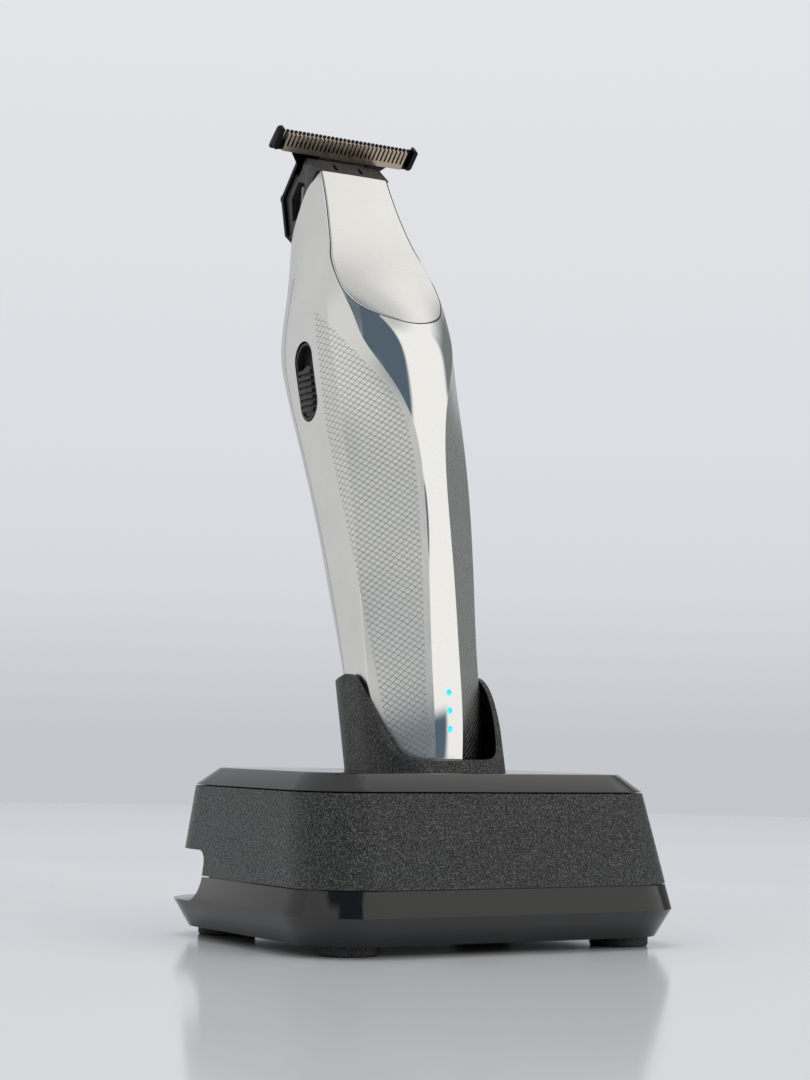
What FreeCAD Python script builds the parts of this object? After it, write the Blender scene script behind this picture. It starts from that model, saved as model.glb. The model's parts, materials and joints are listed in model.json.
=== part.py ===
"""Cordless T-blade hair trimmer standing in its charging stand.

Every piece is written to parts/NODE.step in one frame, in millimetres.  X runs to
the right of the stand, Y runs to its back and Z runs up from the floor.
"""
import math
import os

import FreeCAD
import Part

Vector = FreeCAD.Vector

# ---------------------------------------------------------------- frame
STAND_Y = -8.2            # middle of the stand; centres the whole object on Y = 0
LEAN_DEG = 14.0           # how far the trimmer leans back in its cradle
DOCK_Y = STAND_Y + 1.3    # where the trimmer's bottom centre sits in the cradle
DOCK_Z = 36.3

# ---------------------------------------------------------------- stand
# each level: half width, half depth, corner radius, height, shift to the back
LEVEL_TOP = (40.7, 28.6, 10.0, 38.3, 1.9)
LEVEL_WALL_TOP = (45.6, 33.6, 13.4, 34.1, 1.9)
LEVEL_SEAM = (48.0, 38.1, 14.4, 13.9, 0.0)
LEVEL_RING_WIDEST = (49.4, 39.5, 15.4, 8.4, 0.0)
LEVEL_RING_BOTTOM = (46.1, 36.2, 13.0, 2.3, 0.0)
STAND_WALL = 2.4
SHADOW_GAP = 0.3          # open line between two stand shells
BEZEL_PLATE = 2.0
PLATE_LOW = 5.5           # underside of the bottom plate
PLATE_HIGH = 7.0
FOOT_D = 13.2
FOOT_X = 35.4
FOOT_Y = 27.9
BAY_FRONT = 16.3          # inner wall of the cable bay, from the stand's middle
BAY_LOW = 8.4
BAY_HIGH = 19.8
BAY_CORNER = 3.0
BAY_COVE = 4.5            # larger rounding where the bay meets its ledge
BAY_WALL = 2.0
INLET_Z = 14.2
INLET_BORE_D = 5.6
INLET_DEPTH = 9.0
INLET_CASE_D = 9.6
BOARD_LOW = 7.9
BOARD_HIGH = 9.1

# ---------------------------------------------------------------- cradle
CUP_HALF_W = 17.9
CUP_FRONT = -16.0
CUP_BACK = 11.1
CUP_R = 10.5
CUP_WALL = 1.3
CUP_FLOOR_LOW = -2.5
CUP_FLOOR_HIGH = -0.35
CUP_BOTTOM = -6.0
CUP_TOP = 24.3

# ---------------------------------------------------------------- trimmer
# Body sections: height up the body, ridge half width, ridge edge depth, ridge
# middle depth, panel end (x, depth), widest (x, depth), back corner (x, depth),
# back middle depth.  Depth is negative towards the front.
BODY = (
    (0.0, 3.5, -12.6, -12.9, 13.9, -4.0, 14.4, -1.0, 13.3, 5.0, 8.4),
    (8.0, 3.7, -14.3, -14.8, 14.6, -5.2, 15.2, -2.0, 14.0, 5.2, 8.8),
    (25.0, 3.7, -16.5, -17.0, 15.1, -6.5, 15.8, -3.0, 14.4, 5.4, 9.0),
    (45.0, 3.35, -19.0, -19.5, 15.7, -8.3, 16.4, -4.0, 14.9, 7.0, 10.4),
    (65.0, 3.15, -20.7, -21.2, 16.3, -9.8, 17.0, -4.5, 15.3, 9.1, 12.8),
    (84.0, 5.5, -20.9, -21.9, 16.7, -9.8, 17.5, -3.0, 15.7, 12.4, 16.5),
    (94.0, 9.4, -18.8, -21.8, 16.7, -9.6, 17.8, -1.5, 16.0, 14.3, 18.5),
    (102.0, 12.4, -16.1, -20.9, 17.1, -9.0, 18.0, 0.0, 16.1, 15.8, 19.8),
    (110.0, 13.3, -13.8, -17.6, 16.8, -8.4, 17.8, 1.0, 15.8, 16.8, 20.5),
    (118.0, 14.1, -10.6, -12.6, 15.9, -6.9, 16.7, 2.0, 14.6, 16.3, 19.7),
    (126.0, 13.3, -7.5, -8.1, 14.5, -4.6, 15.2, 3.0, 13.2, 15.2, 18.3),
    (134.0, 11.8, -4.9, -5.1, 12.8, -2.4, 13.5, 4.0, 11.8, 14.9, 17.7),
    (143.0, 10.5, -2.7, -2.8, 11.3, -0.4, 12.1, 4.5, 10.6, 14.2, 17.0),
    (154.0, 9.5, -0.3, -0.35, 10.2, 1.8, 11.2, 5.0, 9.8, 13.8, 16.7),
)
HOUSING_WALL = 1.7
TOP_CUT_FRONT = (-0.5, 152.5)      # slanted top of the housing, depth and height
TOP_CUT_BACK = (13.5, 140.9)
SEAM_LINE = ((0.0, 2.6), (25.0, 3.8), (45.0, 4.4), (65.0, 7.1), (85.0, 10.8),
             (103.0, 13.2), (116.0, 12.0), (128.0, 9.0))
PIECE_GAP = 0.3
FACE_T = 1.2
# outline of the faceplate on its right side: half width and height
FACE_EDGE = ((0.0, 105.7), (6.0, 107.2), (10.6, 110.4), (13.2, 115.0), (13.75, 120.0),
             (13.2, 126.0), (11.6, 133.0), (10.3, 141.0), (9.55, 148.0), (9.2, 153.0))

SWITCH_W = 97.7
SWITCH_V = 3.0
SWITCH_LEN = 20.0
SWITCH_WID = 9.0
SLIDER_LEN = 12.6
SLIDER_WID = 7.0
LED_D = 1.4
LED_HEIGHTS = (8.4, 12.5, 16.6)

BATTERY_D = 18.2
BATTERY_LEN = 50.0
MOTOR_D = 20.0
MOTOR_LOW = 84.5
MOTOR_HIGH = 111.5
MOTOR_V = 1.5
CRANK_THROW = 1.2
CRANK_LOW = 96.0
CRANK_TOP = 124.0
FORK_GAP = 0.4            # the crank pin stops this far below the fork

# ---------------------------------------------------------------- blades
BLADE_TIP = (0.3, 163.1)           # depth and height of the fixed teeth tips
BLADE_DROP_DEG = 32.2              # how steeply the blade falls to the back
BLADE_HALF = 19.9
EAR_W = 1.3
BLADE_T = 1.1
ARM_DEPTH = 5.6
BLADE_LEN = 19.7
TAIL_HALF = 10.8
TAIL_LOW = 140.6
TAIL_V = 16.6
TEETH = 32
PITCH = 1.16
TOOTH_LEN = 3.0
CUTTER_GAP = 0.25
CUTTER_T = 1.0
CUTTER_HALF = 17.1
CUTTER_BACK = 9.5


# ---------------------------------------------------------------- helpers
def box(x0, x1, y0, y1, z0, z1):
    return Part.makeBox(x1 - x0, y1 - y0, z1 - z0, Vector(x0, y0, z0))


def rod(radius, start, end):
    """Cylinder between two points."""
    axis = end.sub(start)
    return Part.makeCylinder(radius, axis.Length, start, axis)


def rounded_wire(half_x, half_y, radius, z, mid_y=0.0):
    """Closed rounded rectangle at height z."""
    flat_x = half_x - radius
    flat_y = half_y - radius
    corners = ((flat_x, flat_y, 0), (-flat_x, flat_y, 90),
               (-flat_x, -flat_y, 180), (flat_x, -flat_y, 270))
    arcs = []
    for cx, cy, start in corners:
        circle = Part.Circle(Vector(cx, cy + mid_y, z), Vector(0, 0, 1), radius)
        arcs.append(circle.toShape(math.radians(start), math.radians(start + 90)))
    edges = []
    for index, arc in enumerate(arcs):
        following = arcs[(index + 1) % 4]
        edges.append(arc)
        edges.append(Part.makeLine(arc.Vertexes[-1].Point, following.Vertexes[0].Point))
    return Part.Wire(edges)


def rounded_block(half_x, half_y, radius, z0, z1, mid_y=0.0):
    wire = rounded_wire(half_x, half_y, radius, z0, mid_y)
    return Part.Face(wire).extrude(Vector(0, 0, z1 - z0))


def between(low, high, fraction):
    return tuple(a + (b - a) * fraction for a, b in zip(low, high))


def stack(levels, inset=0.0):
    """Straight-sided solid through stand levels, optionally shrunk by inset."""
    wires = []
    for half_x, half_y, radius, z, shift in levels:
        wires.append(rounded_wire(half_x - inset, half_y - inset,
                                  max(radius - inset, 2.0), z, shift + STAND_Y))
    return Part.makeLoft(wires, True, True)


def docked(shape):
    """Move a trimmer piece from its own frame into the leaning, docked place."""
    moved = shape.copy()
    moved.rotate(Vector(0, 0, 0), Vector(1, 0, 0), -LEAN_DEG)
    moved.translate(Vector(0, DOCK_Y, DOCK_Z))
    return moved


def on_blade(shape):
    """Move a piece from the blade's own frame into the trimmer's frame."""
    moved = shape.copy()
    moved.rotate(Vector(0, 0, 0), Vector(1, 0, 0), -BLADE_DROP_DEG)
    moved.translate(Vector(0, BLADE_TIP[0], BLADE_TIP[1]))
    return moved


def side_prism(points, half_x):
    """Extrude a depth/height polygon across the body."""
    corners = [Vector(-half_x, v, w) for v, w in points]
    wire = Part.makePolygon(corners + [corners[0]])
    return Part.Face(wire).extrude(Vector(2 * half_x, 0, 0))


def spline(points, start=None, end=None):
    curve = Part.BSplineCurve()
    if start is None:
        curve.interpolate(points)
    else:
        curve.interpolate(Points=points, InitialTangent=start, FinalTangent=end)
    return curve.toShape()


# ---------------------------------------------------------------- stand pieces
def bay_cutter():
    """Space cut across the back of the stand for the cable and the plug."""
    bay = box(-60, 60, BAY_FRONT + STAND_Y, 60, BAY_LOW, BAY_HIGH)
    for height, radius in ((BAY_HIGH, BAY_CORNER), (BAY_LOW, BAY_COVE)):
        corner = [edge for edge in bay.Edges
                  if abs(edge.CenterOfMass.z - height) < 1e-6
                  and abs(edge.CenterOfMass.y - BAY_FRONT - STAND_Y) < 1e-6]
        bay = bay.makeFillet(radius, corner)
    return bay


def inlet_bore(radius):
    y0 = BAY_FRONT + STAND_Y - INLET_DEPTH - 4
    return rod(radius, Vector(0, y0, INLET_Z), Vector(0, BAY_FRONT + STAND_Y + 5, INLET_Z))


def stand_body():
    seam = list(LEVEL_SEAM)
    seam[3] += SHADOW_GAP
    outer = stack((LEVEL_WALL_TOP, tuple(seam)))
    low = between(LEVEL_SEAM, LEVEL_WALL_TOP, -0.2)
    high = between(LEVEL_SEAM, LEVEL_WALL_TOP, 1.2)
    shell = outer.cut(stack((low, high), STAND_WALL))
    shell = shell.cut(bay_cutter())
    wall_y = BAY_FRONT + STAND_Y
    roof = box(-60, 60, wall_y - BAY_WALL, 60, seam[3], BAY_HIGH + BAY_WALL).cut(bay_cutter())
    shell = shell.fuse(roof.common(stack((low, high), STAND_WALL - 0.2)))
    for x in (-26, 26):
        for y in (-22, 9):
            post = rod(3.2, Vector(x, y + STAND_Y, seam[3]), Vector(x, y + STAND_Y, 26))
            web = box(x - 0.8, x + 0.8, y + STAND_Y, y + STAND_Y + 1, 20, 26)
            shell = shell.fuse(post.fuse(web))
        rail = box(x - 1.0, x + 1.0, -34 + STAND_Y, BAY_FRONT + STAND_Y - 1, 24.2, 26.0)
        shell = shell.fuse(rail)
        for y in (-22, 9):
            hole = rod(1.25, Vector(x, y + STAND_Y, 10), Vector(x, y + STAND_Y, 22))
            shell = shell.cut(hole)
    shell = shell.cut(inlet_bore(INLET_CASE_D / 2 - 1.0))
    return shell.removeSplitter()


def cup_prism(outset, low, high):
    """The cradle's outline along the trimmer's axis, in the trimmer's frame."""
    half_y = (CUP_BACK - CUP_FRONT) / 2 + outset
    mid_y = (CUP_BACK + CUP_FRONT) / 2
    return rounded_block(CUP_HALF_W + outset, half_y, CUP_R + outset, low, high, mid_y)


def stand_top_bezel():
    bottom = list(LEVEL_WALL_TOP)
    bottom[3] += SHADOW_GAP
    outer = stack((tuple(bottom), LEVEL_TOP))
    inner = stack((between(LEVEL_WALL_TOP, LEVEL_TOP, -0.4),
                   between(LEVEL_WALL_TOP, LEVEL_TOP, 0.5)), BEZEL_PLATE)
    inner = inner.common(box(-60, 60, -60, 60, 0, LEVEL_TOP[3] - BEZEL_PLATE))
    bezel = outer.cut(inner)
    return bezel.cut(docked(cup_prism(0.3, -30, 30)))


def stand_lower_ring():
    outer = stack((LEVEL_RING_BOTTOM, LEVEL_RING_WIDEST, LEVEL_SEAM))
    inner = stack((between(LEVEL_RING_BOTTOM, LEVEL_RING_WIDEST, -0.2),
                   between(LEVEL_RING_BOTTOM, LEVEL_RING_WIDEST, 1.0),
                   between(LEVEL_RING_WIDEST, LEVEL_SEAM, 1.2)), STAND_WALL)
    ring = outer.cut(inner)
    wall_y = BAY_FRONT + STAND_Y
    ledge = box(-60, 60, wall_y - BAY_WALL, 60, PLATE_HIGH + 0.3, BAY_LOW)
    ledge = ledge.fuse(box(-60, 60, wall_y - BAY_WALL, wall_y + 6, PLATE_HIGH + 0.3, 14))
    ring = ring.fuse(outer.common(ledge)).cut(bay_cutter())
    ring = ring.cut(inlet_bore(INLET_CASE_D / 2 - 1.0))
    ring = ring.cut([rod(FOOT_D / 2 + PIECE_GAP, Vector(x, y, 0), Vector(x, y, PLATE_LOW))
                     for x, y in foot_centres()])
    return ring.removeSplitter()


def plate_holes():
    return [(x, y) for x in (-26, 26) for y in (-22, 9)]


def stand_bottom_plate():
    fraction = (PLATE_LOW - LEVEL_RING_BOTTOM[3]) / (LEVEL_RING_WIDEST[3] - LEVEL_RING_BOTTOM[3])
    half_x, half_y, radius, _, shift = between(LEVEL_RING_BOTTOM, LEVEL_RING_WIDEST, fraction)
    edge = STAND_WALL + PIECE_GAP
    plate = rounded_block(half_x - edge, half_y - edge, radius - edge,
                          PLATE_LOW, PLATE_HIGH, shift + STAND_Y)
    for x, y in plate_holes():
        sink = rod(3.4, Vector(x, y + STAND_Y, PLATE_LOW - 1), Vector(x, y + STAND_Y, 6.5))
        hole = rod(1.75, Vector(x, y + STAND_Y, 4), Vector(x, y + STAND_Y, 9))
        plate = plate.cut(sink).cut(hole)
    for x, y in foot_centres():
        seat = rod(FOOT_D / 2 - 2.2, Vector(x, y, PLATE_LOW - 1), Vector(x, y, PLATE_LOW + 0.9))
        plate = plate.cut(seat)
    vents = [box(-9 + 4 * i, -7.4 + 4 * i, STAND_Y - 6, STAND_Y + 6, 4, 9) for i in range(5)]
    return plate.cut(vents)


def foot_centres():
    return [(sx * FOOT_X, STAND_Y + sy * FOOT_Y) for sx in (-1, 1) for sy in (-1, 1)]


def rubber_feet():
    feet = []
    for x, y in foot_centres():
        pad = rod(FOOT_D / 2, Vector(x, y, 0), Vector(x, y, PLATE_LOW))
        rims = [pad.Edges[i] for i in range(len(pad.Edges))
                if abs(pad.Edges[i].CenterOfMass.z) < 1e-6]
        pad = pad.makeFillet(0.6, rims)
        plug = rod(FOOT_D / 2 - 2.3, Vector(x, y, PLATE_LOW - 0.5), Vector(x, y, PLATE_LOW + 0.8))
        feet.append(pad.fuse(plug))
    return Part.makeCompound(feet)


def stand_screws():
    screws = []
    for x, y in plate_holes():
        y = y + STAND_Y
        head = rod(3.0, Vector(x, y, 4.9), Vector(x, y, 6.5))
        shank = rod(1.2, Vector(x, y, 6.0), Vector(x, y, 20.0))
        cross = box(x - 1.8, x + 1.8, y - 0.35, y + 0.35, 4.5, 5.7)
        cross = cross.fuse(box(x - 0.35, x + 0.35, y - 1.8, y + 1.8, 4.5, 5.7))
        screws.append(head.fuse(shank).cut(cross))
    return Part.makeCompound(screws)


def dc_inlet():
    y1 = BAY_FRONT + STAND_Y
    case = rod(INLET_CASE_D / 2, Vector(0, y1 - 2.3 - INLET_DEPTH, INLET_Z),
               Vector(0, y1 - 2.3, INLET_Z))
    nose = rod(INLET_CASE_D / 2 - 1.06, Vector(0, y1 - 3, INLET_Z), Vector(0, y1 + 0.4, INLET_Z))
    bore = rod(INLET_BORE_D / 2, Vector(0, y1 + 0.4 - INLET_DEPTH, INLET_Z),
               Vector(0, y1 + 2, INLET_Z))
    block = box(-4.8, 4.8, y1 - 2.3 - INLET_DEPTH, y1 - 2.3, 9.9, INLET_Z)
    return case.fuse(nose).fuse(block).cut(bore)


def charging_board():
    board = box(-21, 21, STAND_Y - 16, STAND_Y + 12, BOARD_LOW, BOARD_HIGH)
    chips = [(-14, -8, 8, 6, 2.6), (-2, -11, 6, 6, 4.0), (12, -9, 9, 7, 2.2), (-16, 6, 6, 5, 5.0),
             (14, 6, 7, 5, 3.2)]
    for x, y, size_x, size_y, tall in chips:
        y = y + STAND_Y
        board = board.fuse(box(x - size_x / 2, x + size_x / 2, y - size_y / 2, y + size_y / 2,
                               BOARD_HIGH - 0.1, BOARD_HIGH + tall))
    return board


def charging_cradle():
    outer = cup_prism(0, CUP_BOTTOM, CUP_TOP + 4)
    hollow = cup_prism(-CUP_WALL, CUP_FLOOR_HIGH, CUP_TOP + 10)
    under = cup_prism(-CUP_WALL, CUP_BOTTOM - 5, CUP_FLOOR_LOW)
    cup = outer.cut(hollow).cut(under)
    rise = [Vector(-40, v, w) for v, w in
            ((-19.0, 0.9), (-15.4, 1.0), (-13.2, 2.9), (-11.6, 7.2), (-9.4, 13.4),
             (-6.6, 19.8), (-3.6, 23.4), (0.4, CUP_TOP))]
    edge = spline(rise)
    sky = [rise[-1], Vector(-40, 30, CUP_TOP), Vector(-40, 30, 60), Vector(-40, -40, 60),
           Vector(-40, -40, 0.9), rise[0]]
    lines = [Part.makeLine(a, b) for a, b in zip(sky, sky[1:])]
    opening = Part.Face(Part.Wire([edge] + lines)).extrude(Vector(80, 0, 0))
    cup = docked(cup.cut(opening))
    flange = rounded_block(21.5, 18.0, 9.0, 34.4, 36.0, STAND_Y - 1.0)
    flange = flange.cut(docked(cup_prism(-0.6, -30, 30)))
    cup = cup.fuse(flange)
    for x in (-6.0, 6.0):
        hole = rod(1.3, Vector(x, -2, -12), Vector(x, -2, 12))
        cup = cup.cut(docked(hole))
    return cup.removeSplitter()


def charging_pin(x):
    """Sprung contact standing in the cradle floor, under the trimmer."""
    tip = rod(1.0, Vector(x, -2, -7.0), Vector(x, -2, -0.1))
    dome = Part.makeSphere(1.0, Vector(x, -2, -0.1))
    collar = rod(1.9, Vector(x, -2, -4.2), Vector(x, -2, -3.4))
    pin = tip.fuse(dome.common(box(x - 2, x + 2, -4, 0, -0.1, 0.62))).fuse(collar)
    return docked(pin)


def pin_holder():
    """Block under the cradle floor that guides both charging pins."""
    block = box(-9.5, 9.5, -5.5, 1.5, -9.0, -6.0)
    for x in (-6.0, 6.0):
        block = block.cut(rod(1.06, Vector(x, -2, -12), Vector(x, -2, 0)))
    legs = box(-9.5, -8.2, -5.5, 1.5, -6.1, CUP_FLOOR_LOW - 0.1)
    legs = legs.fuse(box(8.2, 9.5, -5.5, 1.5, -6.1, CUP_FLOOR_LOW - 0.1))
    return docked(block.fuse(legs))


# ---------------------------------------------------------------- trimmer body
def body_wire(row, inset):
    """One closed section of the body, shrunk evenly by inset."""
    height, ridge_x, edge_v, mid_v, panel_x, panel_v, wide_x, wide_v, back_x, back_v, rear = row
    centre = (mid_v + rear) / 2
    half = (rear - mid_v) / 2
    scale_x = (wide_x - inset) / wide_x
    scale_v = (half - inset) / half

    def place(x, v):
        return Vector(x * scale_x, centre + (v - centre) * scale_v, height)

    def flank(side):
        points = [place(side * panel_x, panel_v), place(side * wide_x, wide_v),
                  place(side * back_x, back_v), place(side * back_x * 0.62, rear - 0.75),
                  place(0, rear)]
        start = points[1].sub(points[0]) * 0.6
        return spline(points, start, Vector(-side * back_x * 0.5, 0, 0))

    ridge = Part.Arc(place(-ridge_x, edge_v), place(0, mid_v), place(ridge_x, edge_v)).toShape()
    right = Part.makeLine(place(ridge_x, edge_v), place(panel_x, panel_v))
    left = Part.makeLine(place(-panel_x, panel_v), place(-ridge_x, edge_v))
    return Part.Wire([ridge, right, flank(1), flank(-1), left])


def body_solid(inset=0.0, rows=BODY):
    return Part.makeLoft([body_wire(row, inset) for row in rows], True, False)


def above_top_cut(offset=0.0):
    """Everything above the slanted top of the housing, in the trimmer's frame."""
    (v0, w0), (v1, w1) = TOP_CUT_FRONT, TOP_CUT_BACK
    slope = (w1 - w0) / (v1 - v0)
    left = -30.0
    right = 40.0
    low_left = w0 + slope * (left - v0) + offset
    low_right = w0 + slope * (right - v0) + offset
    return side_prism(((left, low_left), (right, low_right), (right, 230), (left, 230)), 40)


def behind_seam(shift):
    """Everything behind the joint line between housing and back shell."""
    points = [Vector(-40, v + shift, w) for w, v in SEAM_LINE]
    foot = Vector(-40, points[0].y, -20)
    top = Vector(-40, 60, points[-1].z)
    corners = [points[-1], top, Vector(-40, 60, -20), foot, points[0]]
    lines = [Part.makeLine(a, b) for a, b in zip(corners, corners[1:])]
    return Part.Face(Part.Wire([spline(points)] + lines)).extrude(Vector(80, 0, 0))


def face_prism(gap):
    """Outline of the faceplate pushed through the body from the front."""
    right = [Vector(x + (gap if x else 0), -40, w - (gap if w < 112 else 0)) for x, w in FACE_EDGE]
    left = [Vector(-p.x, p.y, p.z) for p in reversed(right[1:])]
    curve = spline(left + right)
    top = Vector(right[-1].x, -40, 175)
    corners = [right[-1], top, Vector(-top.x, -40, 175), left[0]]
    lines = [Part.makeLine(a, b) for a, b in zip(corners, corners[1:])]
    return Part.Face(Part.Wire([curve] + lines)).extrude(Vector(0, 45, 0))


def switch_slot(length, width, x0, x1):
    """Stadium-shaped prism across the left side wall."""
    half = width / 2
    straight = length / 2 - half
    slot = box(x0, x1, SWITCH_V - half, SWITCH_V + half, SWITCH_W - straight, SWITCH_W + straight)
    for end in (-straight, straight):
        slot = slot.fuse(rod(half, Vector(x0, SWITCH_V, SWITCH_W + end),
                             Vector(x1, SWITCH_V, SWITCH_W + end)))
    return slot


def led_rod(height, radius, v0, v1):
    return rod(radius, Vector(0, v0, height), Vector(0, v1, height))


def front_depth(height):
    """Depth of the ridge middle at a height, between the two nearest sections."""
    for low, high in zip(BODY, BODY[1:]):
        if low[0] <= height <= high[0]:
            fraction = (height - low[0]) / (high[0] - low[0])
            return low[3] + (high[3] - low[3]) * fraction
    return BODY[-1][3]


def contact_pads_cutter(radius, low, high):
    return [rod(radius, Vector(x, -2, low), Vector(x, -2, high)) for x in (-6.0, 6.0)]


def trimmer_shells():
    """Main housing, back shell and faceplate, cut from one body."""
    outer = body_solid()
    inner = body_solid(HOUSING_WALL).common(box(-40, 40, -40, 40, 2.0, 170))
    shell = outer.cut(inner)
    rear_layer = outer.copy()
    rear_layer.translate(Vector(0, FACE_T, 0))
    deep_layer = outer.copy()
    deep_layer.translate(Vector(0, FACE_T + PIECE_GAP, 0))
    plate = outer.common(face_prism(0)).cut(rear_layer).cut(above_top_cut())
    pocket = outer.common(face_prism(PIECE_GAP)).cut(deep_layer)
    seat = outer.common(face_prism(-1.6)).cut(body_solid(HOUSING_WALL + 1.0))
    back = shell.common(behind_seam(PIECE_GAP / 2))
    back = back.cut(box(-40, 40, -40, 60, SEAM_LINE[-1][0] - PIECE_GAP, 200))
    front = shell.fuse(seat).cut(behind_seam(-PIECE_GAP / 2)).cut(above_top_cut()).cut(pocket)
    front = front.cut(switch_slot(SWITCH_LEN, SWITCH_WID, -25, -8))
    front = front.cut([led_rod(height, LED_D / 2 + 0.05, -30, -8) for height in LED_HEIGHTS])
    front = front.cut(contact_pads_cutter(2.15, -1, 4))
    return front.removeSplitter(), back.removeSplitter(), plate.removeSplitter()


def biggest(shape):
    """Keep the main solid of a cut result."""
    return max(shape.Solids, key=lambda solid: solid.Volume)


def led_lenses():
    lenses = []
    for height in LED_HEIGHTS:
        front = front_depth(height)
        lenses.append(led_rod(height, LED_D / 2, front + 0.02, front + 2.4))
    return docked(Part.makeCompound(lenses))


def charging_contacts():
    pads = []
    for x in (-6.0, 6.0):
        pad = rod(2.1, Vector(x, -2, 0.95), Vector(x, -2, 1.6))
        stem = rod(0.8, Vector(x, -2, 1.5), Vector(x, -2, 5.0))
        pads.append(pad.fuse(stem))
    return docked(Part.makeCompound(pads))


def switch_bezel():
    """Thin ring lining the switch slot, with a floor the slider runs over."""
    ring = switch_slot(SWITCH_LEN - 0.6, SWITCH_WID - 0.6, -17.5, -14.2)
    hole = switch_slot(SWITCH_LEN - 2.0, SWITCH_WID - 2.0 + 0.3, -25, -15.2)
    return docked(ring.cut(hole).common(body_solid(0.25)))


def switch_slider():
    """Ribbed thumb piece, at the low (off) end of its slot."""
    low = SWITCH_W - SWITCH_LEN / 2 + 1.2
    middle = low + SLIDER_LEN / 2
    half = SLIDER_WID / 2
    straight = SLIDER_LEN / 2 - half
    core = box(-17.3, -15.5, SWITCH_V - half, SWITCH_V + half, middle - straight, middle + straight)
    for end in (-straight, straight):
        core = core.fuse(rod(half, Vector(-17.3, SWITCH_V, middle + end),
                             Vector(-15.5, SWITCH_V, middle + end)))
    ribs = []
    for index in range(7):
        height = low + 1.5 + index * 1.6
        rib = box(-18.1, -17.0, SWITCH_V - 3.0, SWITCH_V + 3.0, height - 0.45, height + 0.45)
        rib.rotate(Vector(-17.5, SWITCH_V, height), Vector(1, 0, 0), 14)
        ribs.append(rib)
    outline = core.copy()
    outline.translate(Vector(-0.9, 0, 0))
    grip = Part.makeCompound(ribs).common(outline)
    return docked(core.fuse(grip.Solids))


# ---------------------------------------------------------------- inside the trimmer
def battery_cell():
    can = rod(BATTERY_D / 2, Vector(0, -5.6, 28), Vector(0, -5.6, 28 + BATTERY_LEN))
    cap = rod(3.0, Vector(0, -5.6, 27.2), Vector(0, -5.6, 28.5))
    return docked(can.fuse(cap))


def control_board():
    board = box(-9, 9, 4.2, 5.4, 12, 74)
    switch_leg = box(-10.2, 8, 4.2, 5.4, 74, 82)
    chip = box(-4, 4, 3.2, 4.3, 18, 25)
    return docked(board.fuse(switch_leg).fuse(chip))


def motor():
    can = rod(MOTOR_D / 2, Vector(0, MOTOR_V, MOTOR_LOW), Vector(0, MOTOR_V, MOTOR_HIGH))
    boss = rod(3.0, Vector(0, MOTOR_V, MOTOR_HIGH - 0.5), Vector(0, MOTOR_V, MOTOR_HIGH + 1.5))
    bore = rod(1.03, Vector(0, MOTOR_V, CRANK_LOW - 0.5), Vector(0, MOTOR_V, MOTOR_HIGH + 3))
    return docked(can.fuse(boss).cut(bore))


def crank_shaft():
    disc_low = MOTOR_HIGH + 2.2
    disc_high = disc_low + 3.0
    shaft = rod(1.0, Vector(0, MOTOR_V, CRANK_LOW), Vector(0, MOTOR_V, disc_low + 0.5))
    disc = rod(4.2, Vector(0, MOTOR_V, disc_low), Vector(0, MOTOR_V, disc_high))
    pin = rod(0.9, Vector(0, MOTOR_V + CRANK_THROW, disc_high - 0.5),
              Vector(0, MOTOR_V + CRANK_THROW, CRANK_TOP))
    return docked(shaft.fuse(disc).fuse(pin))


def chassis():
    """Plastic frame that carries the motor inside the housing."""
    low = MOTOR_LOW - 1.4
    high = MOTOR_HIGH - 2.0
    ring_low = rod(11.6, Vector(0, MOTOR_V, low), Vector(0, MOTOR_V, MOTOR_LOW + 2.4))
    ring_high = rod(11.6, Vector(0, MOTOR_V, high - 2.4), Vector(0, MOTOR_V, high))
    bars = box(-11.9, -10.4, -1.5, 4.5, low, high).fuse(box(10.4, 11.9, -1.5, 4.5, low, high))
    frame = ring_low.fuse(ring_high).fuse(bars)
    bore = rod(MOTOR_D / 2 + 0.06, Vector(0, MOTOR_V, MOTOR_LOW - 0.1),
               Vector(0, MOTOR_V, 130))
    shaft = rod(4, Vector(0, MOTOR_V, 80), Vector(0, MOTOR_V, 130))
    frame = frame.cut(bore).cut(shaft)
    return docked(frame)


# ---------------------------------------------------------------- cutting head
def comb(count, first_x, pitch, width, length, low, high):
    """Row of slots that leaves teeth standing between them."""
    slots = []
    for index in range(count):
        x = first_x + index * pitch
        slots.append(box(x - width / 2, x + width / 2, -5, length, low, high))
    return Part.makeCompound(slots)


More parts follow.
